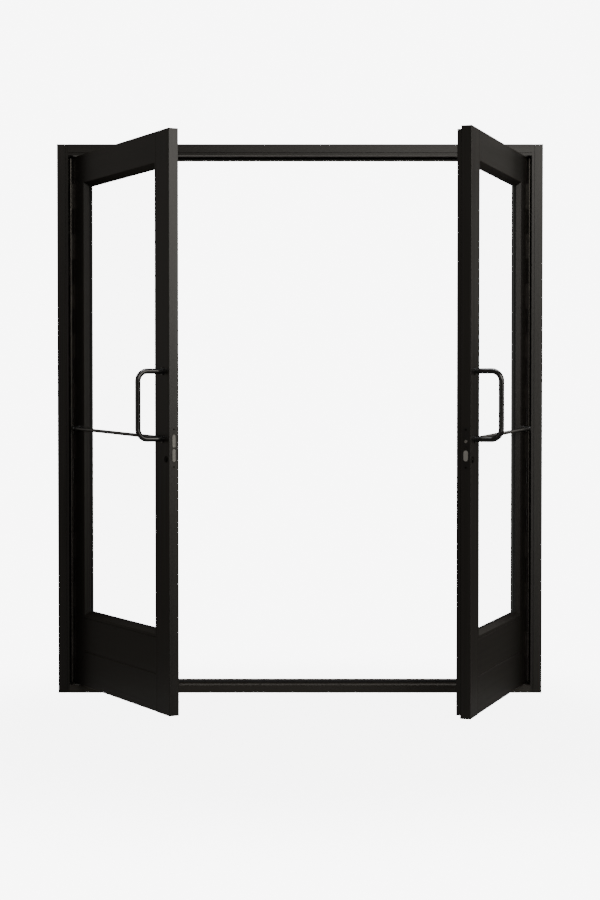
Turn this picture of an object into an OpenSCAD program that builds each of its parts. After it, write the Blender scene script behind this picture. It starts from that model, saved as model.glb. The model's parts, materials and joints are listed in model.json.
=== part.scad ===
// Pair of aluminium storefront doors in a four sided frame, both leaves standing open.
// X runs along the frame, Y runs into the building and Z runs up.
// The origin is under the sill, at the middle of the frame's width and depth.

/* [Frame] */
// Overall width of the frame
frame_w = 1924; // [1700:1:2300]
// Overall height of the frame
frame_h = 2178; // [2000:1:2500]
// Depth of the frame, front to back
frame_d = 114; // [100:1:160]
// Width of the head and jamb sections, seen from the front
section_w = 44; // [42:1:60]
// Height of the sill at its tread
sill_h = 30; // [26:1:40]
// Height of the lip at the front edge of the sill
sill_lip = 3; // [2:0.5:5]
// Wall of the frame extrusions
frame_wall = 3; // [2:0.5:4]
// Width of the flat front face, before the shadow groove
face_w = 33; // [30:1:35]
// Width of the shadow groove
groove_w = 2; // [1.5:0.5:3]
// Depth of the shadow groove
groove_d = 4; // [2:0.5:5]
// Set back of the ridge beside the groove
ridge_setback = 1.5; // [0.5:0.5:2]

/* [Stops and gaskets] */
// Height of the door stop above the section that carries it
stop_h = 10; // [8:1:14]
// Width of the door stop, front to back
stop_d = 30; // [24:1:32]
// Distance of the door stop from the frame's back
stop_inset = 2; // [0:1:10]
// Wall of the door stop
stop_wall = 2; // [1.5:0.5:3]
// Thickness of the gasket bulb in front of the stop
gasket_d = 5; // [3:0.5:6]
// Clearance between a closed leaf and the gasket
gasket_gap = 5; // [5:0.5:7]
// Distance of the gasket's edge from the frame
gasket_inset = 1.5; // [1:0.5:2.5]
// Amount by which the gaskets end short of the corners of the stops
gasket_short = 2; // [1:0.5:4]

/* [Leaves] */
// Thickness of a leaf
leaf_t = 38; // [36:1:44]
// Width of the hinge stiles
stile_w = 100; // [80:1:120]
// Width of the lock stiles
lock_stile_w = 110; // [90:1:125]
// Height of the top rail
top_rail_h = 100; // [80:1:140]
// Height of the lower board of the bottom rail
rail_lower_h = 138; // [100:1:180]
// Height of the upper board of the bottom rail
rail_upper_h = 134; // [90:1:180]
// Wall of the leaf extrusions
leaf_wall = 3; // [2:0.5:4]
// Radius of the long edges of the stiles
edge_r = 2; // [1:0.5:2.5]
// Groove at each board edge of the bottom rail
seam_bevel = 2; // [1:0.5:2.5]
// Gap between the two leaves when closed
meeting_gap = 8; // [7.5:0.5:12]
// Clearance between a leaf and the sill tread
bottom_gap = 6; // [5:0.5:12]
// Clearance between a leaf and the head
top_gap = 6; // [5:0.5:12]
// Thickness of the caps in the ends of the stiles and jambs
cap_t = 3; // [2:0.5:5]
// Depth of the caps inside the tube ends
cap_sink = 1; // [0.5:0.5:3]
// Angle at which the left leaf stands open
left_open = 61; // [0:0.5:95]
// Angle at which the right leaf stands open
right_open = 70.5; // [0:0.5:95]

/* [Glazing] */
// Width of the glazing beads
bead_w = 26; // [22:1:32]
// Flat lip of a glazing bead before its slope
bead_lip = 10; // [6:1:14]
// Depth of the outer bead
outer_bead_d = 17.5; // [14:0.5:18]
// Thickness of the glass
glass_t = 6; // [5:0.5:7]
// Thickness of the strip on each side of the glass
glass_strip_t = 1.5; // [1:0.25:2]
// Wall of the glazing beads
bead_wall = 2; // [1.5:0.25:2.25]
// Height of a bead's blunt edge at the glass
bead_nose = 1.5; // [1:0.25:2]
// Depth by which the beads hold the glass edge
glass_bite = 12; // [8:1:14]

/* [Hinges] */
// Diameter of the hinge barrel
barrel_d = 13; // [12:0.5:14]
// Diameter of the hinge pin
pin_d = 6; // [5:0.5:7]
// Thickness of the hinge wings
wing_t = 3; // [2:0.5:4]
// Length of the hinge wings, front to back
wing_d = 34; // [26:1:36]
// Number of knuckles, odd so that the frame has both ends
knuckles = 21; // [11:2:25]
// Gap between two knuckles
knuckle_gap = 0.8; // [0.5:0.1:1.5]
// Play around the pin
pin_play = 0.3; // [0.2:0.05:0.5]
// Clearance between the two hinge wings when closed
wing_gap = 8; // [6:0.5:10]
// Distance of the hinge's ends from the ends of the leaf
hinge_end = 5; // [3:1:20]
// Distance of the hinge axis in front of the leaf's face
axis_lead = 7; // [6.5:0.5:9]

/* [Pulls] */
// Diameter of the pull's round bar
pull_d = 20; // [18:1:25]
// Distance between the pull's two legs
pull_centres = 242; // [200:1:320]
// Distance of the grip's centre line from the leaf
pull_reach = 96; // [80:1:120]
// Radius of the pull's bends, on the centre line
pull_bend_r = 36; // [26:1:45]
// Distance of the pull from the lock edge
pull_inset = 55; // [40:1:62]
// Height of the pull's middle above the frame's base
pull_mid_z = 1146; // [950:1:1300]
// Diameter of the rose under each leg
rose_d = 28; // [26:1:40]
// Thickness of the rose under each leg
rose_t = 4; // [3:0.5:6]

/* [Cross bar] */
// Diameter of the cross bar
bar_d = 13; // [10:1:16]
// Distance of the bar's centre line from the leaf
bar_reach = 20; // [18:1:30]
// Height of the bar at its hinge end
bar_hinge_z = 1054; // [980:1:1120]
// Height of the bar's lock end above the middle of the pull's lower leg
bar_end_rise = 6; // [0:0.5:8]
// Distance of the bar's post from the hinge edge
post_inset = 52; // [30:1:60]
// Diameter of the bar's post
post_d = 18; // [17:1:25]
// Height of the post's end above the bar
post_cap = 1.5; // [1:0.5:4]
// Clearance where the bar is shaped to the round pieces that hold it
cope_gap = 0.3; // [0.2:0.1:0.5]

/* [Lock] */
// Height of the key cylinder above the frame's base
cylinder_z = 953; // [900:1:1000]
// Distance of the key cylinder from the lock edge
cylinder_inset = 26; // [22:1:34]
// Diameter of the key cylinder's collar
collar_d = 24; // [22:1:32]
// Height of the collar above the leaf
collar_h = 3; // [3:0.5:8]
// Difference between the collar's diameters at its foot and its top
collar_taper = 4; // [1:0.5:4]
// Diameter of the key plug
plug_d = 15; // [12:1:16]
// Width of the key slot
key_slot_w = 2; // [1.5:0.5:3]
// Height of the key slot
key_slot_h = 8; // [6:1:10]
// Width of the lock's face plate
plate_w = 24; // [20:1:28]
// Height of the lock's face plate
plate_h = 150; // [120:1:200]
// Thickness of the lock's face plate
plate_t = 2; // [1.5:0.5:3]
// Width of a bolt
bolt_w = 12; // [10:1:14]
// Height of a bolt
bolt_h = 46; // [36:1:50]
// Height of the upper bolt's middle above the key cylinder
upper_bolt_rise = 65; // [60:1:70]
// Height of the lower bolt's middle above the key cylinder
lower_bolt_rise = 14; // [9:1:14]
// Amount by which the bolts stand out of the plate
bolt_out = 1.2; // [0.5:0.1:1.5]
// Height of the slot in the strike plate
strike_slot_h = 12; // [8:1:16]
// Width of the strike's raised keeper
keeper_w = 16; // [12:1:18]
// Height of the strike's raised keeper
keeper_h = 38; // [30:1:44]

/* [Astragal] */
// Width of the astragal
astragal_w = 40; // [25:1:50]
// Thickness of the astragal
astragal_t = 4; // [3:0.5:6]
// Depth of the astragal's edge flange
astragal_d = 14; // [12:1:18]
// Amount by which the astragal is cut short at the top and bottom
astragal_short = 12; // [10:1:30]

/* [Anchors] */
// Diameter of the anchor holes in the jambs
anchor_d = 9; // [6:0.5:12]
// Distance of the end anchors from the jamb's ends
anchor_end = 229; // [150:1:300]

/* [Hidden] */

$fn = 48;
eps = 0.01;

front_y = -frame_d / 2;
stop_front = frame_d - stop_inset - stop_d;
opening_half_w = frame_w / 2 - section_w;
jamb_h = frame_h;
head_len = frame_w - 2 * section_w;

// Closed leaf, measured in the frame's own coordinates
leaf_hinge_x = opening_half_w - 2 * wing_t - wing_gap;
leaf_w = leaf_hinge_x - meeting_gap / 2;
leaf_z0 = sill_h + bottom_gap;
leaf_z1 = frame_h - section_w - top_gap;
leaf_h = leaf_z1 - leaf_z0;

// The gaskets lie on the stops, and the closed leaf stands in front of the gaskets
gasket_front = stop_front - gasket_d;
leaf_front_y = front_y + gasket_front - gasket_gap - leaf_t;
gasket_r = gasket_d / 2;

// The hinge axis lies in the middle of the gap between the two wings
axis_u = wing_t + wing_gap / 2;
axis_x = leaf_hinge_x + axis_u;
axis_y = leaf_front_y - axis_lead;
barrel_r = barrel_d / 2;
hinge_z0 = leaf_z0 + hinge_end;
hinge_z1 = leaf_z1 - hinge_end;
knuckle_pitch = (hinge_z1 - hinge_z0) / knuckles;

// Glass opening inside the tubes of one leaf
bay_w = leaf_w - stile_w - lock_stile_w;
bay_z0 = leaf_z0 + rail_lower_h + rail_upper_h;
bay_z1 = leaf_z1 - top_rail_h;
bay_h = bay_z1 - bay_z0;
glass_front = outer_bead_d + glass_strip_t;
inner_bead_front = glass_front + glass_t + glass_strip_t;
inner_bead_d = leaf_t - inner_bead_front;
glass_inset = bead_w - glass_bite;

// Pull, cross bar and lock
pull_u = leaf_w - pull_inset;
pull_r = pull_d / 2;
pull_z0 = pull_mid_z - pull_centres / 2;
pull_z1 = pull_mid_z + pull_centres / 2;
bar_run = pull_u - post_inset;
bar_drop = bar_hinge_z - pull_z0 - bar_end_rise;
bar_tilt = atan2(bar_drop, bar_run);
bar_len = sqrt(bar_run * bar_run + bar_drop * bar_drop);
upper_bolt_z = cylinder_z + upper_bolt_rise;
lower_bolt_z = cylinder_z + lower_bolt_rise;
lock_mid_z = (upper_bolt_z + lower_bolt_z) / 2;

// Helpers

module rounded_rect(w, d, r) {
    translate([r, 0])
        square([w - 2 * r, d]);
    translate([0, r])
        square([w, d - 2 * r]);
    for (x = [r, w - r], y = [r, d - r])
        translate([x, y])
            circle(r);
}

module stadium(w, h) {
    translate([-w / 2, -(h - w) / 2])
        square([w, h - w]);
    for (side = [-1, 1])
        translate([0, side * (h - w) / 2])
            circle(d = w);
}

// Section of a head or jamb: x runs from the outer perimeter inwards, y from the front back
module frame_section() {
    difference() {
        polygon([
            [0, 0], [face_w, 0], [face_w, groove_d], [face_w + groove_w, groove_d],
            [face_w + groove_w, ridge_setback], [section_w, ridge_setback],
            [section_w, frame_d], [0, frame_d]
        ]);
        frame_hollow();
    }
}

// Outline of the hollow inside a head or jamb
module frame_hollow() {
    polygon([
        [frame_wall, frame_wall], [face_w - frame_wall, frame_wall],
        [face_w - frame_wall, groove_d + frame_wall],
        [section_w - frame_wall, groove_d + frame_wall],
        [section_w - frame_wall, frame_d - frame_wall],
        [frame_wall, frame_d - frame_wall]
    ]);
}

// Section of the sill: x runs up from the base, y from the front back
module sill_section() {
    difference() {
        polygon([
            [0, 0], [sill_h - sill_lip, 0], [sill_h - sill_lip, sill_lip],
            [sill_h, sill_lip], [sill_h, frame_d], [0, frame_d]
        ]);
        polygon([
            [frame_wall, frame_wall], [sill_h - sill_lip - frame_wall, frame_wall],
            [sill_h - sill_lip - frame_wall, sill_lip + frame_wall],
            [sill_h - frame_wall, sill_lip + frame_wall],
            [sill_h - frame_wall, frame_d - frame_wall],
            [frame_wall, frame_d - frame_wall]
        ]);
    }
}

// Section of a door stop: a channel that is open towards the frame
module stop_section() {
    difference() {
        square([stop_h, stop_d]);
        translate([-eps, stop_wall])
            square([stop_h - stop_wall + eps, stop_d - 2 * stop_wall]);
    }
}

// Section of a gasket: a bulb on a flat back
module gasket_section() {
    translate([gasket_inset + gasket_r, gasket_r])
        circle(gasket_r);
    translate([gasket_inset, gasket_r])
        square([2 * gasket_r, gasket_r]);
}

// Stands a section up against the left jamb, from z0 to z1
module upright(z0, z1) {
    translate([-frame_w / 2, front_y, z0])
        linear_extrude(z1 - z0)
            children();
}

// Lays a section along the frame with its outer edge at height z, hanging down
module hanging(z, half_len) {
    translate([half_len, front_y, z])
        rotate([0, -90, 0])
            linear_extrude(2 * half_len)
                mirror([1, 0, 0])
                    children();
}

// Lays a section along the frame with its outer edge at height z, standing up
module lying(z, half_len) {
    translate([half_len, front_y, z])
        rotate([0, -90, 0])
            linear_extrude(2 * half_len)
                children();
}

module mirrored(side) {
    if (side == "right")
        mirror([1, 0, 0])
            children();
    else
        children();
}

// Puts what is drawn on a closed left leaf in its place on either leaf, standing open
// There x runs from the hinge edge, y from the outer face inwards
module on_leaf(side) {
    angle = side == "left" ? left_open : right_open;
    mirrored(side)
        translate([-axis_x, axis_y, 0])
            rotate([0, 0, -angle])
                translate([axis_u, axis_lead, 0])
                    children();
}

// Frame

module head() {
    color([0.07, 0.07, 0.07])
        hanging(frame_h, head_len / 2)
            frame_section();
}

module sill() {
    color([0.07, 0.07, 0.07])
        lying(0, head_len / 2)
            sill_section();
}

module anchor_holes() {
    span = (jamb_h - 2 * anchor_end) / 3;
    for (i = [0:3])
        translate([-frame_w / 2 - 1, 0, anchor_end + i * span])
            translate([0, front_y + stop_front + stop_d / 2, 0])
                rotate([0, 90, 0])
                    cylinder(h = section_w + 2, d = anchor_d);
}

module jamb(side) {
    color([0.07, 0.07, 0.07])
        mirrored(side)
            difference() {
                upright(0, jamb_h)
                    frame_section();
                anchor_holes();
            }
}

// Caps in both ends of both jambs
module jamb_caps() {
    color([0.06, 0.06, 0.06])
        for (side = ["left", "right"], z = [cap_sink, jamb_h - cap_sink - cap_t])
            mirrored(side)
                upright(z, z + cap_t)
                    frame_hollow();
}

module head_stop() {
    color([0.08, 0.08, 0.08])
        hanging(frame_h - section_w, head_len / 2)
            translate([0, stop_front])
                stop_section();
}

module sill_stop() {
    color([0.08, 0.08, 0.08])
        lying(sill_h, head_len / 2)
            translate([0, stop_front])
                stop_section();
}

module jamb_stop(side) {
    color([0.08, 0.08, 0.08])
        mirrored(side)
            upright(sill_h + stop_h, frame_h - section_w - stop_h)
                translate([section_w, stop_front])
                    stop_section();
}

module stop_gaskets() {
    corner = stop_h + gasket_short;
    color([0.02, 0.02, 0.02]) {
        for (side = ["left", "right"])
            mirrored(side)
                upright(sill_h + corner, frame_h - section_w - corner)
                    translate([section_w, gasket_front])
                        gasket_section();
        hanging(frame_h - section_w, head_len / 2 - corner)
            translate([0, gasket_front])
                gasket_section();
        lying(sill_h, head_len / 2 - corner)
            translate([0, gasket_front])
                gasket_section();
    }
}

// Hinges

// Half of a hinge, with its axis on z: x runs to the wing and y along it
// The knuckles are every second one of the row, from the first that is given
module hinge_half(first) {
    knuckle_h = knuckle_pitch - knuckle_gap;
    difference() {
        for (i = [first:2:knuckles - 1])
            translate([0, 0, hinge_z0 + i * knuckle_pitch + knuckle_gap / 2]) {
                cylinder(h = knuckle_h, r = barrel_r);
                cube([axis_u, axis_lead, knuckle_h]);
            }
        translate([0, 0, hinge_z0 - 1])
            cylinder(h = hinge_z1 - hinge_z0 + 2, d = pin_d + 2 * pin_play);
    }
    translate([wing_gap / 2, axis_lead, hinge_z0])
        cube([wing_t, wing_d, hinge_z1 - hinge_z0]);
}

// The frame's half of the hinge, on the left jamb's inner face
module hinge_frame_wing(side) {
    color([0.09, 0.09, 0.09])
        mirrored(side)
            translate([-axis_x, axis_y, 0])
                mirror([1, 0, 0])
                    hinge_half(0);
}

module hinge_pin(side) {
    color([0.12, 0.12, 0.12])
        mirrored(side)
            translate([-axis_x, axis_y, 0]) {
                translate([0, 0, hinge_z0])
                    cylinder(h = hinge_z1 - hinge_z0, d = pin_d);
                translate([0, 0, hinge_z1])
                    intersection() {
                        sphere(barrel_r);
                        cylinder(h = barrel_r, r = barrel_r);
                    }
            }
}

// The leaf's half of the hinge, on the hinge stile's edge
module hinge_leaf_wing(side) {
    color([0.09, 0.09, 0.09])
        on_leaf(side)
            translate([-axis_u, -axis_lead, 0])
                hinge_half(1);
}

// Leaves

module tube(w, d, r) {
    difference() {
        rounded_rect(w, d, r);
        tube_hollow(w, d);
    }
}

module tube_hollow(w, d) {
    translate([leaf_wall, leaf_wall])
        square([w - 2 * leaf_wall, d - 2 * leaf_wall]);
}

// Caps in both ends of a leaf's two stiles
module stile_caps(side) {
    color([0.06, 0.06, 0.06])
        on_leaf(side)
            for (z = [leaf_z0 + cap_sink, leaf_z1 - cap_sink - cap_t])
                translate([0, 0, z])
                    linear_extrude(cap_t) {
                        tube_hollow(stile_w, leaf_t);
                        translate([leaf_w - lock_stile_w, 0])
                            tube_hollow(lock_stile_w, leaf_t);
                    }
}

module hinge_stile(side) {
    color([0.08, 0.08, 0.08])
        on_leaf(side)
            translate([0, 0, leaf_z0])
                linear_extrude(leaf_h)
                    tube(stile_w, leaf_t, edge_r);
}

module lock_stile(side) {
    color([0.08, 0.08, 0.08])
        on_leaf(side)
            difference() {
                translate([leaf_w - lock_stile_w, 0, leaf_z0])
                    linear_extrude(leaf_h)
                        tube(lock_stile_w, leaf_t, edge_r);
                translate([leaf_w - plate_t, (leaf_t - plate_w) / 2, lock_mid_z - plate_h / 2])
                    cube([plate_t + 1, plate_w, plate_h]);
                translate([leaf_w - cylinder_inset, -1, cylinder_z])
                    rotate([-90, 0, 0])
                        cylinder(h = leaf_wall + 2, d = collar_d - collar_taper);
            }
}

// A rail between the stiles: its section has x up and y inwards, and its long edges are bevelled
module rail(side, z0, h, bevel) {
    color([0.08, 0.08, 0.08])
        on_leaf(side)
            translate([stile_w, 0, z0 + h])
                rotate([0, 90, 0])
                    linear_extrude(bay_w)
                        difference() {
                            polygon([
                                [bevel, 0], [h - bevel, 0], [h, bevel], [h, leaf_t - bevel],
                                [h - bevel, leaf_t], [bevel, leaf_t],
                                [0, leaf_t - bevel], [0, bevel]
                            ]);
                            tube_hollow(h, leaf_t);
                        }
}

// Section of a bead: x runs from the tube towards the glass, y from the leaf's face inwards
module bead_section(depth) {
    polygon([
        [0, 0], [bead_lip, 0], [bead_w, depth - bead_nose], [bead_w, depth], [0, depth]
    ]);
}

module bead_hollow(depth) {
    polygon([
        [bead_wall, bead_wall], [bead_lip - bead_wall / 2, bead_wall],
        [bead_w - 2 * bead_wall, depth - bead_wall], [bead_wall, depth - bead_wall]
    ]);
}

// Four bars of a section round the bay, their ends cut back from the bay's edge
// The section falls towards the glass, so the bars meet in a mitre where they cross
module bars_round_bay(cut_back) {
    sides = [[0, 0, 0, bay_w], [bay_w, 0, -90, bay_h], [bay_w, bay_h, 180, bay_w], [0, bay_h, 90, bay_h]];
    for (s = sides)
        translate([s[0], 0, s[1]])
            rotate([0, s[2], 0])
                translate([s[3] - cut_back, 0, 0])
                    rotate([0, -90, 0])
                        linear_extrude(s[3] - 2 * cut_back)
                            children();
}

// The four beads of one face, their outer face at y = 0
module bead_frame(depth) {
    difference() {
        bars_round_bay(0)
            bead_section(depth);
        bars_round_bay(bead_wall)
            bead_hollow(depth);
    }
}

module outer_beads(side) {
    color([0.09, 0.09, 0.09])
        on_leaf(side)
            translate([stile_w, 0, bay_z0])
                bead_frame(outer_bead_d);
}

module inner_beads(side) {
    color([0.09, 0.09, 0.09])
        on_leaf(side)
            translate([stile_w, leaf_t, bay_z0])
                mirror([0, 1, 0])
                    bead_frame(inner_bead_d);
}

module bay_ring(y, t, outer, inner) {
    translate([stile_w, y + t, bay_z0])
        rotate([90, 0, 0])
            linear_extrude(t)
                difference() {
                    translate([outer, outer])
                        square([bay_w - 2 * outer, bay_h - 2 * outer]);
                    translate([inner, inner])
                        square([bay_w - 2 * inner, bay_h - 2 * inner]);
                }
}

module glass_strips(side) {
    color([0.02, 0.02, 0.02])
        on_leaf(side) {
            bay_ring(outer_bead_d, glass_strip_t, glass_inset, bead_w);
            bay_ring(glass_front + glass_t, glass_strip_t, glass_inset, bead_w);
        }
}

module glass(side) {
    color([0.8, 0.87, 0.88, 0.3])
        on_leaf(side)
            translate([stile_w + glass_inset, glass_front, bay_z0 + glass_inset])
                cube([bay_w - 2 * glass_inset, glass_t, bay_h - 2 * glass_inset]);
}

// Pull, cross bar and lock

module pull(side) {
    leg = pull_reach - pull_bend_r;
    color([0.05, 0.05, 0.05])
        on_leaf(side)
            translate([pull_u, 0, 0]) {
                for (z = [pull_z0, pull_z1])
                    translate([0, 0, z])
                        rotate([90, 0, 0]) {
                            cylinder(h = rose_t, d = rose_d);
                            cylinder(h = leg, r = pull_r);
                        }
                translate([0, -leg, pull_z0 + pull_bend_r])
                    mirror([0, 1, 0])
                        mirror([0, 0, 1])
                            bend_quarter();
                translate([0, -leg, pull_z1 - pull_bend_r])
                    mirror([0, 1, 0])
                        bend_quarter();
                translate([0, -pull_reach, pull_z0 + pull_bend_r])
                    cylinder(h = pull_centres - 2 * pull_bend_r, r = pull_r);
            }
}

// A quarter ring in the plane of y and z, with both its ends on the positive axes
module bend_quarter() {
    rotate([90, 0, 90])
        rotate_extrude(angle = 90)
            translate([pull_bend_r, 0])
                circle(pull_r);
}

module cross_bar(side) {
    color([0.06, 0.06, 0.06])
        on_leaf(side) {
            difference() {
                translate([post_inset, -bar_reach, bar_hinge_z])
                    rotate([0, 90 + bar_tilt, 0])
                        cylinder(h = bar_len, d = bar_d);
                translate([pull_u, 0, pull_z0])
                    rotate([90, 0, 0])
                        cylinder(h = pull_reach, r = pull_r + cope_gap);
            }
            translate([post_inset, 0, bar_hinge_z])
                rotate([90, 0, 0]) {
                    cylinder(h = rose_t, d = rose_d);
                    cylinder(h = bar_reach + bar_d / 2 + post_cap, d = post_d);
                }
        }
}

// The collar is tapered, with a groove round the plug and a slot for the key
module key_cylinder(side) {
    groove = 0.5;
    play = 0.3;
    color([0.04, 0.04, 0.04])
        on_leaf(side)
            translate([leaf_w - cylinder_inset, 0, cylinder_z])
                rotate([90, 0, 0])
                    difference() {
                        union() {
                            cylinder(h = collar_h, d1 = collar_d, d2 = collar_d - collar_taper);
                            translate([0, 0, -leaf_wall])
                                cylinder(h = leaf_wall, d = collar_d - collar_taper - 2 * play);
                        }
                        translate([0, 0, collar_h / 2])
                            difference() {
                                cylinder(h = collar_h, d = plug_d + 2 * groove);
                                translate([0, 0, -1])
                                    cylinder(h = collar_h + 2, d = plug_d);
                            }
                        translate([-key_slot_w / 2, -key_slot_h / 2, 0])
                            cube([key_slot_w, key_slot_h, collar_h + 1]);
                    }
}

// Draws a flat outline on the lock edge: x of the outline runs inwards, y runs up
module on_lock_edge(sink, height, z) {
    translate([leaf_w - sink, leaf_t / 2, z])
        rotate([90, 0, 90])
            linear_extrude(height)
                children();
}

module lock_plate(side) {
    color([0.35, 0.35, 0.34])
        on_leaf(side) {
            on_lock_edge(plate_t, plate_t, lock_mid_z)
                translate([-plate_w / 2, -plate_h / 2])
                    square([plate_w, plate_h]);
            for (z = [upper_bolt_z, lower_bolt_z])
                on_lock_edge(0, bolt_out, z)
                    stadium(bolt_w, bolt_h);
        }
}

module strike_plate(side) {
    slot_z = upper_bolt_z - bolt_h / 2;
    color([0.35, 0.35, 0.34])
        on_leaf(side) {
            difference() {
                on_lock_edge(plate_t, plate_t, lock_mid_z)
                    translate([-plate_w / 2, -plate_h / 2])
                        square([plate_w, plate_h]);
                on_lock_edge(plate_t + 1, plate_t + 2, slot_z)
                    square([bolt_w, strike_slot_h], center = true);
            }
            on_lock_edge(0, bolt_out, lower_bolt_z)
                stadium(keeper_w, keeper_h);
        }
}

module astragal(side) {
    color([0.08, 0.08, 0.08])
        on_leaf(side)
            translate([leaf_w, leaf_t, leaf_z0 + astragal_short])
                linear_extrude(leaf_h - 2 * astragal_short)
                    polygon([
                        [0, 0], [0, astragal_d], [-astragal_t, astragal_d],
                        [-astragal_t, astragal_t], [-astragal_w, astragal_t], [-astragal_w, 0]
                    ]);
}

head();
sill();
jamb("left");  // left_jamb
jamb("right");  // right_jamb
head_stop();
sill_stop();
jamb_stop("left");  // left_jamb_stop
jamb_stop("right");  // right_jamb_stop
stop_gaskets();
hinge_frame_wing("left");  // left_hinge_frame_wing
hinge_frame_wing("right");  // right_hinge_frame_wing
hinge_pin("left");  // left_hinge_pin
hinge_pin("right");  // right_hinge_pin
hinge_stile("left");  // left_hinge_stile
lock_stile("left");  // left_lock_stile
rail("left", bay_z1, top_rail_h, 0);  // left_top_rail
rail("left", leaf_z0 + rail_lower_h, rail_upper_h, seam_bevel);  // left_bottom_rail_upper
rail("left", leaf_z0, rail_lower_h, seam_bevel);  // left_bottom_rail_lower
glass("left");  // left_glass
outer_beads("left");  // left_outer_beads
inner_beads("left");  // left_inner_beads
glass_strips("left");  // left_glass_strips
pull("left");  // left_pull
cross_bar("left");  // left_cross_bar
key_cylinder("left");  // left_key_cylinder
lock_plate("left");  // left_lock_plate
hinge_leaf_wing("left");  // left_hinge_leaf_wing
hinge_stile("right");  // right_hinge_stile
lock_stile("right");  // right_lock_stile
rail("right", bay_z1, top_rail_h, 0);  // right_top_rail
rail("right", leaf_z0 + rail_lower_h, rail_upper_h, seam_bevel);  // right_bottom_rail_upper
rail("right", leaf_z0, rail_lower_h, seam_bevel);  // right_bottom_rail_lower
glass("right");  // right_glass
outer_beads("right");  // right_outer_beads
inner_beads("right");  // right_inner_beads
glass_strips("right");  // right_glass_strips
pull("right");  // right_pull
cross_bar("right");  // right_cross_bar
key_cylinder("right");  // right_key_cylinder
strike_plate("right");  // right_strike_plate
hinge_leaf_wing("right");  // right_hinge_leaf_wing
astragal("right");  // right_astragal
jamb_caps();
stile_caps("left");  // left_stile_caps
stile_caps("right");  // right_stile_caps
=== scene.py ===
# %% [markdown]
# # A pair of black aluminium entrance doors
# The frame, the two leaves and their hardware come from a CAD model that is already at its real size.
# This script adds the finishes, the small fasteners and trims, the light and the camera.
# Every length is in metres, X runs along the frame, Y into the building and Z up.

# %% Load the frame
import json
import math

import bmesh
import bpy
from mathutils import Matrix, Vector


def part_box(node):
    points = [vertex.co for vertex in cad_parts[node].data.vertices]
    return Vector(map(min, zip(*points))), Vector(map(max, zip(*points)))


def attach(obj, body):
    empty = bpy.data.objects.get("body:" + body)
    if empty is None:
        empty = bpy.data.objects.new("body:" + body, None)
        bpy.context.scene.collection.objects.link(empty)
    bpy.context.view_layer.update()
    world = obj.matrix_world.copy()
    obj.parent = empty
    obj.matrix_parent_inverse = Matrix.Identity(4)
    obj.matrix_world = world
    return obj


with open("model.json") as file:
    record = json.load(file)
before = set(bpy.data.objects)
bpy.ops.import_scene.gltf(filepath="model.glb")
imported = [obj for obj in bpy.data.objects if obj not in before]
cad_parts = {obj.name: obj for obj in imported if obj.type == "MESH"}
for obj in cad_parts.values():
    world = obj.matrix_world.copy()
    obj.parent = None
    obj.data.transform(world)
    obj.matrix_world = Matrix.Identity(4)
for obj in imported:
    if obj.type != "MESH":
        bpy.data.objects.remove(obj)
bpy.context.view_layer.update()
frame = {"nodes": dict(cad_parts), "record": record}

# %% [markdown]
# ## Sizes that the pieces share
# The small pieces have to meet the CAD model, so its own sizes are repeated here. They could be typed in
# where each is needed, but with a name and in one place they are easy to check against the model. The
# angles at which the leaves stand open are read back from the joints instead: a joint's lowest value is
# the leaf's closed place.

# %% Sizes and leaf places
LEAF_W = 0.900  # a leaf, from its hinge edge to its lock edge
BAY_U = (0.100, 0.790)  # the glazed bay, from the leaf's hinge edge
BAY_Z = (0.308, 2.028)  # the same bay, from the floor
BEAD_W = 0.026  # how far the glazing beads reach into the bay
HINGE_Z = (0.041, 2.123)  # the lower and the upper end of the hinges
WING_T = 0.003  # a hinge wing's thickness
AXIS_TO_EDGE = 0.007  # from a hinge's axis to the leaf's hinge edge
AXIS_TO_FACE = 0.007  # from the same axis back to the leaf's outer face
JAMB_X = 0.918  # the inner faces of the jambs
STOP_H = 0.010  # how far the stops stand out from the jambs
LOCK_MID = (0.019, 0.9925)  # the middle of the lock plates: depth in the leaf, and height
JOINTS = {joint["name"]: joint for joint in frame["record"]["behaviour"]["joints"]}


class Leaf:
    """Where one leaf stands: u runs from the hinge edge, depth from the outer face inwards."""

    def __init__(self, side):
        joint = JOINTS[side + "_leaf_swing"]
        sign = -1 if side == "left" else 1
        angle = math.radians(-joint["range_deg"][0])
        self.side = side
        self.body = side + "_leaf"
        self.angle = angle
        self.axis = Vector(joint["pos_m"])
        self.along = Vector((-sign * math.cos(angle), -math.sin(angle), 0))
        self.outward = Vector((sign * math.sin(angle), -math.cos(angle), 0))

    def at(self, u, depth, z):
        """The point in the room that lies at these distances on the leaf."""
        offset = self.along * (u + AXIS_TO_EDGE) + self.outward * (-AXIS_TO_FACE - depth)
        return Vector((self.axis.x + offset.x, self.axis.y + offset.y, z))

    def turn(self):
        """The turn about Z that brings X along the leaf, for a pattern's own axes."""
        return math.atan2(self.along.y, self.along.x)


LEAVES = [Leaf("left"), Leaf("right")]
for leaf in LEAVES:
    print(leaf.side, "leaf stands open by", round(math.degrees(leaf.angle), 1), "degrees")

# %% [markdown]
# ## Camera
# The photograph was taken from just above the middle of the doorway, about seven metres away, with the
# camera tipped down a little: the uprights lean together towards the bottom. Such a camera can be placed
# by eye, but here its distance, height, tilt and lens were worked out from the frame's corners in the
# picture, so that the frame falls on the same place in the render, and no shift is needed.

# %% Camera
PHOTO_LONG_SIDE = 900
FOCAL_PX = 1821
SENSOR_WIDTH = 36.0
CAMERA_DISTANCE = 7.23
CAMERA_HEIGHT = 1.147
CAMERA_TILT = math.radians(1.42)
FRAME_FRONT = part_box("head")[0][1]

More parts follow.
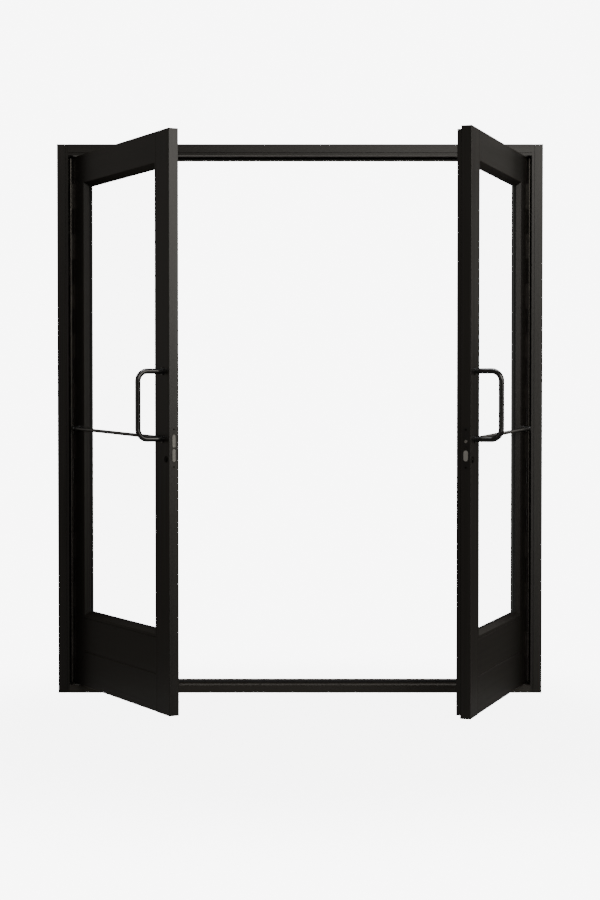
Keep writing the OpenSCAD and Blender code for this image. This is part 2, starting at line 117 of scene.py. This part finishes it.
camera_data = bpy.data.cameras.new("camera")
camera_data.sensor_width = SENSOR_WIDTH
camera_data.lens = FOCAL_PX / PHOTO_LONG_SIDE * SENSOR_WIDTH
camera = bpy.data.objects.new("camera", camera_data)
camera.location = (0.0, FRAME_FRONT - CAMERA_DISTANCE, CAMERA_HEIGHT)
camera.rotation_euler = (math.radians(90) - CAMERA_TILT, 0, 0)
bpy.context.scene.collection.objects.link(camera)
bpy.context.scene.camera = camera
print("lens", round(camera_data.lens, 1), "mm")

# %% [markdown]
# ## A small language for node trees
# A material is easier to read as a formula than as a list of links. The class below wraps an output
# socket, so that adding, multiplying or subtracting makes the Math node and its links, and one method
# makes any other node. It serves the Geometry Nodes trees and the backdrop further down as well.

# %% Values in a node tree
class Value:
    """A value in a node tree: an output socket whose arithmetic makes Math nodes."""

    def __init__(self, tree, socket=None):
        self.tree = tree
        self.socket = socket

    def node(self, kind, inputs=None, out=0, **settings):
        """Any other node, from its type, its input values and its settings; one output comes back."""
        made = self.tree.nodes.new(kind)
        for key, value in settings.items():
            setattr(made, key, value)
        for key, value in (inputs or {}).items():
            if isinstance(value, Value):
                self.tree.links.new(value.socket, made.inputs[key])
            else:
                made.inputs[key].default_value = value
        return Value(self.tree, made.outputs[out] if len(made.outputs) else None)

    def math(self, operation, first, second):
        return self.node("ShaderNodeMath", {0: first, 1: second}, operation=operation)

    def __add__(self, other):
        return self.math("ADD", self, other)

    def __radd__(self, other):
        return self.math("ADD", other, self)

    def __sub__(self, other):
        return self.math("SUBTRACT", self, other)

    def __rsub__(self, other):
        return self.math("SUBTRACT", other, self)

    def __mul__(self, other):
        return self.math("MULTIPLY", self, other)

    def __rmul__(self, other):
        return self.math("MULTIPLY", other, self)


print("values can be added, subtracted and multiplied")


# %% What every finish is made of
MIX_FACTOR, MIX_A, MIX_B, MIX_RESULT = 0, 6, 7, 2  # where the Mix node keeps its sockets for colours


def begin(name):
    """An empty material, and the root from which its nodes are made."""
    material = bpy.data.materials.new(name)
    material.use_nodes = True
    material.node_tree.nodes.clear()
    return material, Value(material.node_tree)


def coordinates(root, turn=0.0, stretch=(1, 1, 1)):
    """Object coordinates, turned about Z and then stretched: a single Mapping node stretches first."""
    start = root.node("ShaderNodeTexCoord", out="Object")
    turned = root.node("ShaderNodeMapping", {"Vector": start, "Rotation": (0, 0, -turn)})
    return root.node("ShaderNodeMapping", {"Vector": turned, "Scale": stretch})


def noise(where, scale, detail=2.0, roughness=0.5):
    inputs = {"Vector": where, "Scale": scale, "Detail": detail, "Roughness": roughness}
    return where.node("ShaderNodeTexNoise", inputs, "Fac")


def blend(factor, low, high):
    """A colour between two, by a varying factor. Each is a plain colour or comes out of a node."""
    low, high = [end if isinstance(end, Value) else (*end, 1) for end in (low, high)]
    inputs = {MIX_FACTOR: factor, MIX_A: low, MIX_B: high}
    return factor.node("ShaderNodeMix", inputs, MIX_RESULT, data_type="RGBA")


def bump(height, strength, distance):
    inputs = {"Height": height, "Strength": strength, "Distance": distance}
    return height.node("ShaderNodeBump", inputs, "Normal")


def surface(root, **inputs):
    """The Principled shader, its sockets named with underscores for spaces, as the output."""
    shader = root.node("ShaderNodeBsdfPrincipled", {k.replace("_", " "): v for k, v in inputs.items()})
    root.node("ShaderNodeOutputMaterial", {"Surface": shader})


print("helpers for a finish ready")

# %% [markdown]
# ## Black anodised aluminium
# The frame and leaves are extrusions: the metal is pushed through a die, which leaves very fine lines
# along its length, and then etched and anodised to a satin black. So the finish is a near black with a
# faint warm cloud in it, and a gloss that breaks up in long streaks along each piece. A picture of brushed
# metal would do too, but noise that is stretched along the piece needs no UV map and never repeats. The
# streaks run upright on stiles and jambs and sideways on rails, so the pattern's axes are turned to each
# piece. Wide faint stains run the same way. The sill is scuffed by feet, so it is lighter and duller.

# %% Anodised finish
DIE_LINES = (900.0, 3.0)  # how fine the lines of the die are, across the metal and along it
STAINS = (42.0, 1.3)  # the same for the wide stains
BLACK_DEEP = (0.0052, 0.0046, 0.0038)
BLACK_WARM = (0.0125, 0.0105, 0.0085)
SCUFFED_DEEP = (0.013, 0.011, 0.009)
SCUFFED_WARM = (0.036, 0.031, 0.026)
ROUGH_SPREAD = 0.09  # about what the patterns add to the roughness on average


def anodised(name, run, turn=0.0, deep=BLACK_DEEP, warm=BLACK_WARM, rough=0.34):
    """Satin black metal whose die lines run upright ("z") or sideways ("x"), in axes turned about Z."""
    material, root = begin(name)

    def streaks(across, along, detail):
        stretch = (across, across, along) if run == "z" else (along, across, across)
        return noise(coordinates(root, turn, stretch), scale=1.0, detail=detail, roughness=0.6)

    plain = coordinates(root, turn)
    lines = streaks(*DIE_LINES, detail=3.0)
    stains = streaks(*STAINS, detail=2.0)
    cloud = noise(plain, scale=2.2, detail=3.0, roughness=0.55)
    grain = noise(plain, scale=1400.0, detail=1.0)
    surface(
        root,
        Base_Color=blend(cloud * 0.4 + stains * 0.4 + lines * 0.2, deep, warm),
        Roughness=rough - ROUGH_SPREAD + lines * 0.06 + cloud * 0.05 + stains * 0.08,
        Normal=bump(lines * 0.6 + grain * 0.4, strength=0.25, distance=0.00004),
        IOR=1.5,
    )
    return material


FRAME_UPRIGHT = anodised("frame_upright_black", "z")
FRAME_LEVEL = anodised("frame_level_black", "x")
SILL = anodised("sill_scuffed_black", "x", deep=SCUFFED_DEEP, warm=SCUFFED_WARM, rough=0.42)
LEAF_UPRIGHT = anodised("leaf_upright_black", "z")
LEAF_LEVEL = {leaf.side: anodised(leaf.side + "_rail_black", "x", leaf.turn()) for leaf in LEAVES}
ANODISED = (FRAME_UPRIGHT, FRAME_LEVEL, SILL, LEAF_UPRIGHT, *LEAF_LEVEL.values())
print("anodised:", [finish.name for finish in ANODISED])

# %% [markdown]
# ## Glass and rubber
# The glass in the picture is so clear that it shows as white. A true glass shader bends every ray and
# takes many samples to come clean, so the panes are nearly all transparent instead, with a thin gloss and
# a little dust on top. The gaskets, and the strips that hold the glass, are a dull black rubber.

# %% Glass and rubber
def clear_glass():
    material, root = begin("clear_glass")
    where = coordinates(root)
    dust = noise(where, scale=60.0, detail=4.0, roughness=0.65)
    surface(
        root,
        Base_Color=(0.86, 0.93, 0.91, 1),
        Roughness=0.02 + dust * 0.03,
        Alpha=0.03 + dust * 0.02,
        Normal=bump(noise(where, scale=1.6), strength=0.03, distance=0.001),
    )
    return material


def rubber(name, grey):
    """Dull rubber about a level of grey, with a faint bloom."""
    material, root = begin(name)
    where = coordinates(root)
    bloom = noise(where, scale=9.0, detail=3.0, roughness=0.6)
    surface(
        root,
        Base_Color=blend(bloom, (grey * 0.7,) * 3, (grey * 1.6,) * 3),
        Roughness=0.62 + bloom * 0.16,
        Normal=bump(noise(where, scale=700.0, roughness=0.6), strength=0.3, distance=0.0001),
    )
    return material


GLASS = clear_glass()
GASKET = rubber("gasket_rubber", 0.012)
STRIP = rubber("glazing_rubber", 0.009)
print("made", [finish.name for finish in (GLASS, GASKET, STRIP)])

# %% [markdown]
# ## Powder coat and steel
# The pulls and bars are powder coated: the powder melts to a fine pebble in a deeper gloss than anodising
# gives, so a clear coat lies over a faint bump. Hinges, pins, key cylinders and screws are brushed steel,
# darkened by its treatment, so they are metallic with fine lines. In the lock edges the bolts and the
# strike are rubbed lighter where they stand out, and painted light is laid on top: on the brightly lit
# left leaf the bolts are painted darker as shade, and on the shaded right leaf the strike and the stud are
# painted much brighter as light. A second material slot would do that too, but the CAD meshes stay as they
# are, so the finish finds what stands out from its place along the leaf.

# %% Powder coat
def coated(name, deep, light, rough):
    """A powder coat: a fine orange peel in a semi-gloss black."""
    material, root = begin(name)
    where = coordinates(root)
    cloud = noise(where, scale=12.0)
    surface(
        root,
        Base_Color=blend(cloud, deep, light),
        Roughness=rough + cloud * 0.06,
        Normal=bump(noise(where, scale=420.0), strength=0.18, distance=0.00012),
        Coat_Weight=0.5,
        Coat_Roughness=0.1,
    )
    return material


HARDWARE = coated("pull_black", (0.006, 0.006, 0.006), (0.012, 0.012, 0.012), 0.15)
print("made", HARDWARE.name)


# %% Steel
BRUSHED = (1600, 1600, 24)  # how fine the brushed lines are; they run upright
WORN_FROM = 0.0004  # what stands further out from the lock edge than this is rubbed
# rubbed steel on the brightly lit left leaf, kept darker as painted shade
RUBBED_PAINTED_SHADE = ((0.11, 0.108, 0.10), (0.28, 0.275, 0.26))
# rubbed steel on the shaded right leaf and the stud, made much lighter as painted light
STEEL_PAINTED_LIGHT = ((0.42, 0.41, 0.39), (0.70, 0.69, 0.66))
LOCK_DARK = ((0.035, 0.034, 0.033), (0.06, 0.058, 0.056))


def steel(name, deep, light, rough, leaf=None, rubbed_and_painted_light=None):
    """Brushed steel. With a leaf, what stands proud of its lock edge has the given pair: rubbed, with
    painted light.
    """
    material, root = begin(name)
    where = coordinates(root)
    lines = noise(coordinates(root, stretch=BRUSHED), scale=1.0, detail=3.0, roughness=0.6)
    colour = blend(noise(where, scale=45.0, detail=3.0, roughness=0.6), deep, light)
    if leaf:
        edge = leaf.axis.dot(leaf.along) + AXIS_TO_EDGE + LEAF_W + WORN_FROM
        reach = {0: where, 1: leaf.along}
        along = root.node("ShaderNodeVectorMath", reach, "Value", operation="DOT_PRODUCT")
        # what stands proud takes its leaf's pair: rubbed steel with painted shade on the left, painted
        # light on the right
        colour = blend(root.math("GREATER_THAN", along, edge), colour, blend(lines, *rubbed_and_painted_light))
    surface(
        root,
        Base_Color=colour,
        Metallic=1.0,
        Roughness=rough + lines * 0.12,
        Normal=bump(lines, strength=0.2, distance=0.00003),
    )
    return material


CYLINDER = steel("cylinder_dark", (0.006, 0.006, 0.005), (0.016, 0.015, 0.013), 0.36)
HINGE = steel("hinge_dark", (0.06, 0.056, 0.05), (0.11, 0.104, 0.095), 0.26)
PIN = steel("pin_dark", (0.05, 0.05, 0.05), (0.09, 0.088, 0.085), 0.3)
# one steel on both leaves: the left leaf's bolts take painted shade, the right leaf's strike painted light
LOCKS = {
    leaf.side: steel(leaf.side + "_lock_steel", *LOCK_DARK, 0.34, leaf, rubbed_and_painted_light)
    for leaf, rubbed_and_painted_light in zip(LEAVES, (RUBBED_PAINTED_SHADE, STEEL_PAINTED_LIGHT))
}
# the stud's bright steel is painted light, as on the right leaf's strike
STUD = steel("stud_painted_light", *STEEL_PAINTED_LIGHT, 0.22)
SCREW = steel("screw_black", (0.008, 0.008, 0.007), (0.018, 0.017, 0.015), 0.36)
print("made", [finish.name for finish in (CYLINDER, HINGE, PIN, *LOCKS.values(), STUD, SCREW)])

# %% [markdown]
# ## Dressing the CAD pieces
# Each CAD piece keeps its shape and takes a finish that suits how it was made and which way it runs. The
# finish could be given piece by piece, but the pieces' names already say what they are, so a short list
# of words does it: the first word that is in the name decides.

# %% Finish every CAD piece
RULES = [
    ("glass_strips", STRIP), ("gaskets", GASKET), ("glass", GLASS), ("pull", HARDWARE),
    ("cross_bar", HARDWARE), ("cylinder", CYLINDER), ("pin", PIN), ("hinge_frame", HINGE),
    ("hinge_leaf", HINGE), ("stile", LEAF_UPRIGHT), ("astragal", LEAF_UPRIGHT),
    ("jamb", FRAME_UPRIGHT),
]


def finish_for(node):
    """The finish of a CAD piece, from its name. What no rule names is a rail, a bead or a level part."""
    side = node.split("_")[0]
    if node.endswith("_plate"):
        return LOCKS[side]
    if node == "sill":
        return SILL
    for word, material in RULES:
        if word in node:
            return material
    return LEAF_LEVEL.get(side, FRAME_LEVEL)


for name, node in frame["nodes"].items():
    node.data.materials.clear()
    node.data.materials.append(finish_for(name))
print("dressed", len(frame["nodes"]), "CAD pieces")

# %% [markdown]
# ## Repeated pieces
# Screws and glazing lips repeat along a line or follow a path, so each is one Geometry Nodes tree with
# its sizes as named inputs. The other way would be a loop that copies meshes, but a tree keeps the sizes
# in one place and makes its shape only once. What a tree makes is turned into a plain mesh.

# %% Trees and plain meshes
def begin_tree(name, **inputs):
    """A Geometry Nodes tree with these named inputs, its root, and the inputs as values."""
    tree = bpy.data.node_groups.new(name, "GeometryNodeTree")
    for label, kind in inputs.items():
        tree.interface.new_socket(label, in_out="INPUT", socket_type="NodeSocket" + kind)
    tree.interface.new_socket("Mesh", in_out="OUTPUT", socket_type="NodeSocketGeometry")
    given = tree.nodes.new("NodeGroupInput")
    values = {socket.name: Value(tree, socket) for socket in given.outputs if socket.name}
    return tree, Value(tree), values


def end_tree(root, shape, finish):
    """The tree's last nodes: real geometry with its material."""
    real = root.node("GeometryNodeRealizeInstances", {0: shape})
    dressed = root.node("GeometryNodeSetMaterial", {0: real, "Material": finish})
    root.node("NodeGroupOutput", {0: dressed})


def grow(tree, **values):
    """The plain mesh that a tree makes from these input values."""
    seed = bpy.data.objects.new("seed", bpy.data.meshes.new("seed"))
    bpy.context.scene.collection.objects.link(seed)
    modifier = seed.modifiers.new("tree", "NODES")
    modifier.node_group = tree
    for socket in tree.interface.items_tree:
        if socket.in_out == "INPUT":
            modifier[socket.identifier] = values[socket.name]
    mesh = bpy.data.meshes.new_from_object(seed.evaluated_get(bpy.context.evaluated_depsgraph_get()))
    bpy.data.objects.remove(seed)
    return mesh


def piece(name, body, meshes):
    """One plain mesh from several, riding on a body. A grown mesh's finish is in its last slot."""
    whole = bmesh.new()
    materials = []
    for mesh in meshes:
        before = len(whole.faces)
        whole.from_mesh(mesh)
        whole.faces.ensure_lookup_table()
        finish = mesh.materials[-1]
        if finish not in materials:
            materials.append(finish)
        for face in whole.faces[before:]:
            face.material_index = materials.index(finish)
    joined = bpy.data.meshes.new(name)
    whole.to_mesh(joined)
    whole.free()
    for finish in materials:
        joined.materials.append(finish)
    made = bpy.data.objects.new(name, joined)
    bpy.context.scene.collection.objects.link(made)
    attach(made, body)
    print(name, "on", body, "has", len(joined.polygons), "faces")


print("helpers for trees ready")

# %% [markdown]
# ## Screws
# A screw's head is a low cone with a cross slot. The slot is cut from one head, and that head is then
# placed along a line. Hinge wings are held by a row of countersunk screws that stand in two lines, the
# lock and strike plates by two each, the sill by a row along its tread, and the jambs by larger anchor
# screws whose heads close the holes in the stops.

# %% The screw tree
HEAD_SIDES = 20
HEAD_TAPER = 0.86  # the head's top over its foot
SLOT_LENGTH = 0.62  # over the head's width
SLOT_WIDTH = 0.13  # over the head's width
SLOT_DEPTH = 1.3  # the slot's cutter, over the height by which the head stands out


def screw_tree():
    tree, root, given = begin_tree(
        "screw_row", Start="Vector", End="Vector", Count="Int", Facing="Vector",
        Width="Float", Rise="Float", Sink="Float", Slot="Float", Finish="Material",
    )
    half = given["Width"] * 0.5
    sizes = {"Vertices": HEAD_SIDES, "Radius Top": half * HEAD_TAPER, "Radius Bottom": half}
    cone = root.node("GeometryNodeMeshCone", {**sizes, "Depth": given["Rise"] + given["Sink"]})
    down = root.node("ShaderNodeCombineXYZ", {"Z": 0.0 - given["Sink"]})
    head = root.node("GeometryNodeTransform", {"Geometry": cone, "Translation": down})
    deep = given["Rise"] * SLOT_DEPTH
    up = root.node("ShaderNodeCombineXYZ", {"Z": given["Rise"]})
    for long_way, short_way in (("X", "Y"), ("Y", "X")):
        size = {long_way: given["Width"] * SLOT_LENGTH, short_way: given["Slot"], "Z": deep}
        bar = root.node("GeometryNodeMeshCube", {"Size": root.node("ShaderNodeCombineXYZ", size)})
        lifted = root.node("GeometryNodeTransform", {"Geometry": bar, "Translation": up})
        cut = {"Mesh 1": head, "Mesh 2": lifted}
        head = root.node("GeometryNodeMeshBoolean", cut, operation="DIFFERENCE")
    row = {"Count": given["Count"], "Start Location": given["Start"], "Offset": given["End"]}
    line = root.node("GeometryNodeMeshLine", row, mode="END_POINTS")
    turn = root.node("FunctionNodeEulerToRotation", {0: given["Facing"]})
    placed = {"Points": line, "Instance": head, "Rotation": turn}
    end_tree(root, root.node("GeometryNodeInstanceOnPoints", placed), given["Finish"])
    return tree


SCREW_ROW = screw_tree()


def screws(start, end, count, facing, width=0.008, rise=0.0005, sink=0.0006, finish=SCREW):
    """A row of screw heads from one place to another, facing along a direction."""
    turn = Vector(facing).to_track_quat("Z", "Y").to_euler()
    return grow(
        SCREW_ROW, Start=tuple(start), End=tuple(end), Count=count, Facing=tuple(turn),
        Width=width, Rise=rise, Sink=sink, Slot=width * SLOT_WIDTH, Finish=finish,
    )


print("the screw tree has", len(SCREW_ROW.nodes), "nodes")

# %% Screws on the frame
HINGE_SCREWS = 11
HINGE_LINES = ((0.010, 0.00), (0.024, 0.09))  # depth on the wing, and how much higher the line stands
LINE_ENDS = (0.05, 0.14)  # from the hinge's two ends to the first line's first and last screw
ANCHORS = 4
ANCHOR_Y = 0.040
ANCHOR_Z = (0.229, 1.949)
ANCHOR_HEAD = {"width": 0.013, "rise": 0.0018, "sink": 0.0004}
SILL_SCREWS = 6
SILL_ROW = (0.80, -0.040, 0.030)  # the last screw of the row; the first stands at the other end
SILL_HEAD = 0.009


def hinge_line(lift):
    """The heights of the first and the last screw of a line along a hinge."""
    return HINGE_Z[0] + LINE_ENDS[0] + lift, HINGE_Z[1] - LINE_ENDS[1] + lift


frame_screws = []
for side in (-1, 1):
    inwards = (-side, 0, 0)
    wing, stop = side * (JAMB_X - WING_T), side * (JAMB_X - STOP_H)
    for depth, lift in HINGE_LINES:
        y = LEAVES[0].axis.y + AXIS_TO_FACE + depth
        ends = [(wing, y, z) for z in hinge_line(lift)]
        frame_screws.append(screws(*ends, HINGE_SCREWS, inwards))
    ends = [(stop, ANCHOR_Y, z) for z in ANCHOR_Z]
    frame_screws.append(screws(*ends, ANCHORS, inwards, **ANCHOR_HEAD))
first = (-SILL_ROW[0], *SILL_ROW[1:])
frame_screws.append(screws(first, SILL_ROW, SILL_SCREWS, (0, 0, 1), width=SILL_HEAD))
piece("frame_screws", "frame", frame_screws)

# %% Screws on the leaves
PLATE_SCREWS = 2
PLATE_REACH = 0.067  # from the middle of the plate to each of its screws
PLATE_HEAD = 0.0075
STUD_Z = 1.0175
STUD_HEAD = {"width": 0.0115, "rise": 0.0011, "sink": 0.0004, "finish": STUD}
for leaf in LEAVES:
    rows = []
    for depth, lift in HINGE_LINES:
        ends = [leaf.at(-WING_T, depth, z) for z in hinge_line(lift)]
        rows.append(screws(*ends, HINGE_SCREWS, -leaf.along))
    depth, mid = LOCK_MID
    ends = [leaf.at(LEAF_W, depth, z) for z in (mid - PLATE_REACH, mid + PLATE_REACH)]
    rows.append(screws(*ends, PLATE_SCREWS, leaf.along, width=PLATE_HEAD))
    if leaf.side == "right":
        stud = leaf.at(LEAF_W, depth, STUD_Z)
        rows.append(screws(stud, stud, 1, leaf.along, **STUD_HEAD))
    piece(leaf.side + "_leaf_screws", leaf.body, rows)

# %% [markdown]
# ## Glazing lips
# The glass is held by a soft wedge that is pressed in between it and the bead, on both faces. Only its
# rounded lip shows, as a thin black line round the glass. It could be a bar along each side, but four bars
# leave gaps or lumps where they meet. So it is a small round profile swept along a rectangle with rounded
# corners, which is how the real wedge goes round a corner in one length.

# %% The lip tree
def lip_tree():
    tree, root, given = begin_tree(
        "glazing_lip", Width="Float", Height="Float", Radius="Float", Corner="Float",
        Outer="Vector", Inner="Vector", Facing="Vector", Finish="Material",
    )
    bay = {"Width": given["Width"], "Height": given["Height"]}
    loop = root.node("GeometryNodeCurvePrimitiveQuadrilateral", bay)
    bent = {"Curve": loop, "Count": 4, "Radius": given["Corner"]}
    path = root.node("GeometryNodeFilletCurve", bent, mode="POLY")
    round_one = {"Resolution": 8, "Radius": given["Radius"]}
    profile = root.node("GeometryNodeCurvePrimitiveCircle", round_one)
    lip = root.node("GeometryNodeCurveToMesh", {"Curve": path, "Profile Curve": profile})
    ends = {"Count": 2, "Start Location": given["Outer"], "Offset": given["Inner"]}
    line = root.node("GeometryNodeMeshLine", ends, mode="END_POINTS")
    turn = root.node("FunctionNodeEulerToRotation", {0: given["Facing"]})
    placed = {"Points": line, "Instance": lip, "Rotation": turn}
    end_tree(root, root.node("GeometryNodeInstanceOnPoints", placed), given["Finish"])
    return tree


LIP = lip_tree()
print("the lip tree has", len(LIP.nodes), "nodes")

# %% A pair of lips for each leaf
LIP_R = 0.0016
LIP_STAND = LIP_R * 0.9  # its middle stands off the glass by less than its radius, so that it touches
LIP_CORNER = 0.006
GLASS_FACES = (0.019, 0.025)
LOOP_W = BAY_U[1] - BAY_U[0] - 2 * BEAD_W - LIP_R
LOOP_H = BAY_Z[1] - BAY_Z[0] - 2 * BEAD_W - LIP_R
BAY_MIDDLE = (BAY_U[0] + BAY_U[1]) / 2, (BAY_Z[0] + BAY_Z[1]) / 2
for leaf in LEAVES:
    lips = grow(
        LIP, Width=LOOP_W, Height=LOOP_H, Radius=LIP_R, Corner=LIP_CORNER,
        Outer=tuple(leaf.at(BAY_MIDDLE[0], GLASS_FACES[0] - LIP_STAND, BAY_MIDDLE[1])),
        Inner=tuple(leaf.at(BAY_MIDDLE[0], GLASS_FACES[1] + LIP_STAND, BAY_MIDDLE[1])),
        Facing=(math.radians(90), 0, leaf.turn()), Finish=STRIP,
    )
    piece(leaf.side + "_glazing_lips", leaf.body, [lips])

# %% [markdown]
# ## Floor, light and backdrop
# The picture is a cut-out on white. So the camera sees white behind the doors, and the pale floor is thin
# and fades out before it ends. Black metal shows little but what it mirrors, and small lamps would leave
# only dots on it, so the light is a set of wide panels, each where one part of the doors mirrors it. In
# the picture the right jamb is grey and the left one almost black, the upper parts are lighter than the
# lower ones, and the edge of the left leaf is the lightest of all. So the front panel stands to the right
# of the camera, high up, for the head and the right jamb, and the right panel stands further round, for
# the edge of the left leaf. The faces of the open leaves mirror what is behind the doors, where the rear
# panel and the weak left rear panel stand. The two low panels are for the front and the tread of the sill,
# the narrow left panel is for the beads beside the left hinge, and the top panel lights the floor.

# %% Floor
FLOOR_MIDDLE = (0.0, -0.9, 0.0)
FLOOR_HALF = 3.2
FLOOR_DROP = 0.002  # how far it lies below the sill, so that the two never share a plane
FLOOR_SOLID = 0.7
FLOOR_FADED = 2.2
FLOOR_THICK = 0.2  # its alpha where it is at its most solid


def stage_floor():
    material, root = begin("pale_floor")
    where = coordinates(root)
    ends = {0: where, 1: FLOOR_MIDDLE}
    reach = root.node("ShaderNodeVectorMath", ends, "Value", operation="DISTANCE")
    span = {"Value": reach, "From Min": FLOOR_SOLID, "From Max": FLOOR_FADED}
    fade = {**span, "To Min": FLOOR_THICK, "To Max": 0.0}
    solid = root.node("ShaderNodeMapRange", fade, interpolation_type="SMOOTHERSTEP")
    colour = blend(noise(where, scale=0.8), (0.78,) * 3, (0.84,) * 3)
    surface(root, Base_Color=colour, Roughness=0.9, Alpha=solid)
    return material


floor_mesh = bpy.data.meshes.new("floor")
square = ((-1, -1), (1, -1), (1, 1), (-1, 1))
corners = [(x * FLOOR_HALF, y * FLOOR_HALF, -FLOOR_DROP) for x, y in square]
floor_mesh.from_pydata(corners, [], [(0, 1, 2, 3)])
floor = bpy.data.objects.new("floor", floor_mesh)
bpy.context.scene.collection.objects.link(floor)
floor.data.materials.append(stage_floor())
print("floor fades from", FLOOR_SOLID, "to", FLOOR_FADED, "m round the doors")


# %% Light
WARM = (1.0, 0.96, 0.895)
WHITE = (1.0, 1.0, 1.0)
PANELS = (  # name, place, what it is turned to, width and height, radiance, tint
    ("front_panel", (2.45, -8.4, 3.9), (0.4, 0.0, 1.6), (4.4, 3.0), 3.4, WARM),
    ("right_panel", (4.8, -4.7, 3.1), (-0.4, -0.8, 1.4), (2.8, 3.6), 3.6, WARM),
    ("low_front_panel", (2.6, -5.5, 0.5), (0.0, -0.1, 0.1), (3.2, 0.8), 2.0, WARM),
    ("rear_panel", (3.9, 5.0, 3.1), (0.8, -0.4, 1.4), (1.7, 3.2), 0.26, WARM),
    ("left_rear_panel", (-5.2, 3.4, 2.4), (-0.7, -0.4, 1.4), (2.6, 3.2), 0.09, WARM),
    ("left_panel", (-3.9, -4.1, 1.9), (-0.8, -0.1, 1.4), (0.7, 3.4), 1.6, WARM),
    ("low_rear_panel", (0.0, 5.0, 0.9), (0.0, 0.0, 0.1), (3.2, 1.1), 0.5, WARM),
    ("top_panel", (0.0, -1.6, 5.6), (0.0, -1.1, 0.0), (3.6, 3.2), 5.0, WHITE),
)


def panel(name, place, aim, size, radiance, tint):
    """A soft panel of an even radiance, turned to a point and not itself seen by the camera."""
    data = bpy.data.lights.new(name, "AREA")
    data.shape = "RECTANGLE"
    data.size, data.size_y = size
    data.energy = radiance * math.pi * size[0] * size[1]
    data.color = tint
    lamp = bpy.data.objects.new(name, data)
    lamp.location = place
    lamp.rotation_euler = (Vector(aim) - Vector(place)).to_track_quat("-Z", "Y").to_euler()
    lamp.visible_camera = False
    bpy.context.scene.collection.objects.link(lamp)
    print(name, round(data.energy), "W")


for row in PANELS:
    panel(*row)


# %% Backdrop
SEEN_WHITE = 8.0
MIRRORED_GREY = 0.085
MIRRORED_TINT = (1.0, 0.92, 0.82, 1)


def studio_world():
    """White where the camera looks past the doors, and dim where their surfaces mirror it."""
    world = bpy.data.worlds.new("studio")
    world.use_nodes = True
    world.node_tree.nodes.clear()
    root = Value(world.node_tree)
    seen = root.node("ShaderNodeLightPath", out="Is Camera Ray")
    dim = root.node("ShaderNodeBackground", {"Color": MIRRORED_TINT, "Strength": MIRRORED_GREY})
    white = root.node("ShaderNodeBackground", {"Color": (*WHITE, 1), "Strength": SEEN_WHITE})
    shown = root.node("ShaderNodeMixShader", {0: seen, 1: dim, 2: white})
    root.node("ShaderNodeOutputWorld", {"Surface": shown})
    bpy.context.scene.world = world


studio_world()
print("backdrop is", SEEN_WHITE, "where it is seen and", MIRRORED_GREY, "where it is mirrored")
